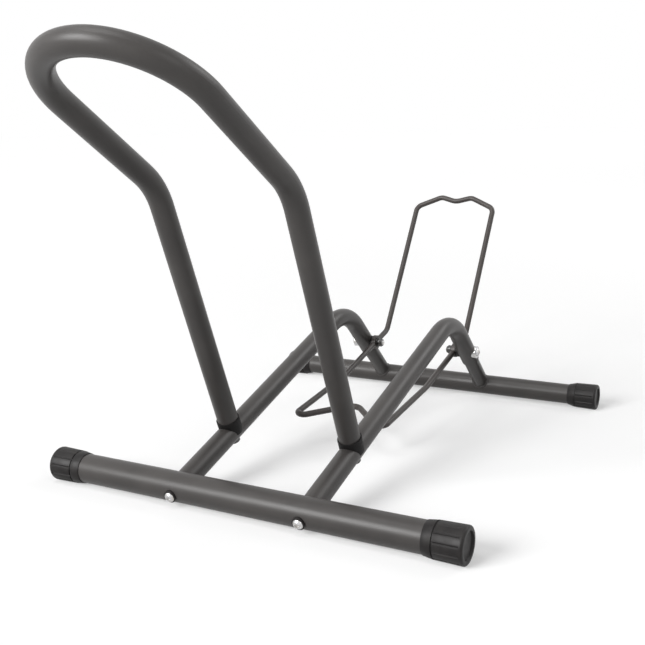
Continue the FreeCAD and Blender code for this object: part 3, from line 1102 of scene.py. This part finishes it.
    def curved_washer(self, name: str, point: Vector, outward: Vector, tube: Vector,
                      tube_radius: float, radius: float, thickness: float) -> bpy.types.Object:
        """Models a washer with a flat outer face and an inner face curved to a tube.

        Args:
            name: The piece's name.
            point: Where the washer's axis meets the tube's axis.
            outward: From there to the washer.
            tube: The tube's axis.
            tube_radius: The tube's radius.
            radius: The washer's radius.
            thickness: Its thickness over the tube's crown.

        Returns:
            The washer.
        """
        washer = Bench.cylinder(name, radius, tube_radius - radius / 2.0, tube_radius + thickness)
        hole = Bench.cylinder("hole", self.hole_radius, 0.0, 2 * tube_radius, HOLE_SIDES)
        Bench.cut(washer, hole)
        Bench.place(washer, point, outward)
        Bench.cut(washer, Bench.tube_cutter(point, tube, tube_radius, radius))
        Bench.round_edges(washer, self.softness, angle=self.washer_edge_angle)
        return washer

    def pivot_parts(self, pivot: Vector) -> None:
        """Builds what holds the loop on both sides.

        Args:
            pivot: The right pivot, in the rail's plane.
        """
        plan = self.layout
        about_leg = half_turn(plan.pivot, plan.leg_direction)
        about_upright = half_turn(plan.pivot, UPRIGHT)
        washer = self.curved_washer("washer_pivot", pivot, ACROSS, plan.leg_direction,
                                    plan.tube_radius, self.pivot_washer_radius,
                                    self.pivot_washer_thickness)
        self.hand_over_pair(washer, Slot.ZINC, "pivot_head_washer", about_leg)
        spacer = self.curved_washer("spacer_pivot", pivot, -ACROSS, plan.leg_direction,
                                    plan.tube_radius, self.spacer_radius, self.spacer_thickness)
        self.hand_over_pair(spacer, Slot.BLACK_PLASTIC, "pivot_spacer", about_leg)
        seat = pivot + ACROSS * (plan.tube_radius + self.pivot_washer_thickness)
        bolt = self.dome_bolt("pivot", seat, ACROSS)
        self.hand_over_pair(bolt, Slot.ZINC, "pivot_bolt", about_upright)
        washer = self.flat_washer(pivot)
        self.hand_over_pair(washer, Slot.BLACK_ZINC, "nut_washer", about_upright)
        nut = self.lock_nut(pivot)
        self.hand_over_pair(nut, Slot.BLACK_ZINC, "pivot_nut", about_upright)

    def flat_washer(self, pivot: Vector) -> bpy.types.Object:
        """Models the flat washer between the loop's right eye and the nut.

        Args:
            pivot: The right pivot, in the rail's plane.

        Returns:
            The washer.
        """
        low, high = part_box("nut_washer_right")
        top = high.x - low.x
        washer = Bench.cylinder("washer_nut", self.flat_washer_radius, 0.0, top)
        hole = Bench.cylinder("hole", self.hole_radius, -self.overcut, top + self.overcut,
                              HOLE_SIDES)
        Bench.cut(washer, hole)
        Bench.round_edges(washer, self.softness, angle=self.washer_edge_angle)
        return Bench.place(washer, Vector((low.x, pivot.y, pivot.z)), ACROSS)

    def lock_nut(self, pivot: Vector) -> bpy.types.Object:
        """Models the right lock nut with its round collar.

        Args:
            pivot: The right pivot, in the rail's plane.

        Returns:
            The nut.
        """
        seat = Vector((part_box("pivot_nut_right")[1].x, pivot.y, pivot.z))
        corner = self.nut_flats / math.sqrt(3.0)
        face = self.nut_height
        top = face + self.collar_height
        nut = Bench.cylinder("nut_pivot", corner, 0.0, face, HEX_SIDES)
        chamfer = Bench.cylinder("chamfer", corner * self.chamfer_shell, -self.overcut,
                                 face + self.overcut, self.chamfer_sides)
        cone = Bench.cylinder("cone", corner * self.chamfer_start, 0.0, face, self.chamfer_sides)
        with Bench.editing():
            for sense, level in ((1, face), (-1, 0.0)):
                Bench.pick_end(sense)
                step = sense * self.overcut
                Bench.grow(step, self.chamfer_end, level + step)
        Bench.cut(chamfer, cone)
        Bench.cut(nut, chamfer)
        collar = Bench.cylinder("collar", self.collar_radius, face - self.collar_overlap, top)
        Bench.finish_with(nut, "BOOLEAN", operation="UNION", object=collar, solver="EXACT")
        bpy.data.objects.remove(collar)
        hole = Bench.cylinder("hole", self.bolt_radius + self.nut_clearance, -self.overcut,
                              top + self.overcut, HOLE_SIDES)
        Bench.cut(nut, hole)
        Bench.round_edges(nut, self.softness, angle=self.nut_edge_angle)
        return Bench.place(nut, seat, -ACROSS)


# ---- welds ------------------------------------------------------------------------------


@dataclass
class WeldBeads(SubAssembly):
    """Beads where the stubs are welded to the rear tube."""

    bead_radius: float = 1.5 * MM
    bead_sides: int = 12
    ripples: int = 34
    ripple_depth: float = 0.22 * MM
    steps_per_ripple: int = 6
    smooth_angle: float = 60.0

    def build(self) -> None:
        """Builds both beads."""
        self.hand_over_pair(self.bead(), Slot.POWDER_COAT, None, self.layout.to_left_rail)

    def bead(self) -> bpy.types.Object:
        """Models the right bead along the line where stub and tube meet.

        Returns:
            The bead.
        """
        plan = self.layout
        Bench.clear()
        bpy.ops.mesh.primitive_torus_add(
            major_segments=self.ripples * self.steps_per_ripple, minor_segments=self.bead_sides,
            major_radius=plan.stub_radius, minor_radius=self.bead_radius)
        bead = bpy.context.active_object
        bead.name = "weld_bead"
        centre = plan.on_rail(plan.rear_axis)
        up_stub = -plan.leg_direction
        athwart = up_stub.cross(ACROSS)
        for vertex in bead.data.vertices:
            turn = math.atan2(vertex.co.y, vertex.co.x)
            reach = vertex.co.xy.length - plan.stub_radius
            ripple = 1.0 + self.ripple_depth / self.bead_radius * math.cos(turn * self.ripples)
            sideways = plan.stub_radius * math.sin(turn)
            rise = math.sqrt(plan.rear_tube_radius ** 2 - sideways ** 2)
            around = ACROSS * math.cos(turn) + athwart * math.sin(turn)
            on_line = centre + around * plan.stub_radius + up_stub * rise
            vertex.co = on_line + around * reach * ripple + up_stub * vertex.co.z * ripple
        bead.data.update()
        with Bench.editing():
            bpy.ops.mesh.select_all(action="SELECT")
            bpy.ops.mesh.normals_make_consistent(inside=False)
        Bench.smooth(bead, self.smooth_angle)
        return bead


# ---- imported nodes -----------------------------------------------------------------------


@dataclass
class PackedPieces(SubAssembly):
    """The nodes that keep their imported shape: tubes, rod loop and hidden plugs."""

    record: dict[str, Any]

    def build(self, nodes: dict[str, bpy.types.Object]) -> None:
        """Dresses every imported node, also those that other pieces stand for.

        Args:
            nodes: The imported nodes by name.
        """
        slots = {row["node"]: Slot(row["material_slot"]) for row in self.record["subparts"]}
        for name, node in sorted(nodes.items()):
            self.finishes.dress(node, slots[name])
            LOG.info("%s: packed node in %s", name, slots[name].value)


# ---- studio -----------------------------------------------------------------------------


@dataclass(frozen=True)
class SoftBox:
    """A rectangular lamp that faces the rack, with its width, height and power in watts."""

    name: str
    place: Triple
    size: Pair
    power: float
    target: Triple = (0.0, 0.0, 0.15)

    def hang(self) -> None:
        """Adds the lamp to the scene."""
        data = bpy.data.lights.new(self.name, "AREA")
        data.shape = "RECTANGLE"
        data.size, data.size_y = self.size
        data.energy = self.power
        lamp = bpy.data.objects.new(self.name, data)
        bpy.context.scene.collection.objects.link(lamp)
        toward = Vector(self.target) - Vector(self.place)
        turn = toward.to_track_quat("-Z", "Y").to_matrix().to_4x4()
        lamp.matrix_world = Matrix.Translation(Vector(self.place)) @ turn


@dataclass
class Studio:
    """Camera, floor, background, and a large lamp in front with weaker ones round it."""

    viewpoint: Triple = (0.4768, -0.8854, 0.3657)
    aim: Triple = (-0.012, 0.0, 0.150)
    roll: float = -1.2
    lens: float = 52.6
    floor_size: float = 60.0
    daylight: float = 0.22
    backdrop: float = 1.0
    lamps: tuple[SoftBox, ...] = (
        SoftBox("key_box", (-1.2, -2.6, 1.55), (1.6, 1.3), 90.0),
        SoftBox("top_box", (-0.5, -0.9, 2.7), (1.6, 1.2), 17.0),
        SoftBox("side_box", (2.4, -0.9, 1.5), (0.9, 1.2), 7.0),
        SoftBox("back_box", (1.5, 1.9, 2.2), (1.4, 1.2), 20.0))

    def build(self) -> None:
        """Sets up everything round the object."""
        self.add_camera()
        self.add_floor()
        for lamp in self.lamps:
            lamp.hang()
        self.add_world()
        bpy.context.scene.view_settings.view_transform = "Standard"

    def add_camera(self) -> None:
        """Places the camera at the photograph's viewpoint."""
        data = bpy.data.cameras.new("camera")
        data.lens = self.lens
        camera = bpy.data.objects.new("camera", data)
        bpy.context.scene.collection.objects.link(camera)
        away = Vector(self.viewpoint) - Vector(self.aim)
        tilt = Matrix.Rotation(math.radians(self.roll), 3, "Z").to_quaternion()
        turn = away.to_track_quat("Z", "Y") @ tilt
        camera.matrix_world = Matrix.Translation(Vector(self.viewpoint)) @ turn.to_matrix().to_4x4()
        bpy.context.scene.camera = camera

    def add_floor(self) -> None:
        """Lays the pale floor."""
        Bench.clear()
        bpy.ops.mesh.primitive_plane_add(size=self.floor_size, location=(0.0, 0.0, 0.0))
        floor = bpy.context.active_object
        floor.name = "floor"
        floor.data.materials.append(StudioFloor().material())

    def add_world(self) -> None:
        """Lights the scene evenly, with a white background for camera and mirror rays."""
        world = bpy.data.worlds.new("studio")
        bpy.context.scene.world = world
        tree = ShaderTree(world, "ShaderNodeOutputWorld")
        sky = tree.node("ShaderNodeBackground", {"Color": WHITE})
        strength = tree.between(tree.seen, (0.0, 1.0), (self.daylight, self.backdrop))
        tree.link(strength, sky.inputs["Strength"])
        tree.link(sky.outputs["Background"], tree.output.inputs["Surface"])


# ---- main -------------------------------------------------------------------------------


def empty_the_scene() -> None:
    """Removes whatever the file starts with."""
    for thing in list(bpy.data.objects):
        bpy.data.objects.remove(thing)


def main() -> None:
    """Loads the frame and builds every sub-assembly in order."""
    logging.basicConfig(level=logging.INFO, format="%(name)s: %(message)s")
    empty_the_scene()
    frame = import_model()
    layout = Layout()
    finishes = Finishes()
    PackedPieces(layout, finishes, frame["record"]).build(frame["nodes"])
    EndCaps(layout, finishes).build()
    Saddles(layout, finishes).build()
    Fasteners(layout, finishes).build()
    WeldBeads(layout, finishes).build()
    Studio().build()


if __name__ == "__main__":
    main()
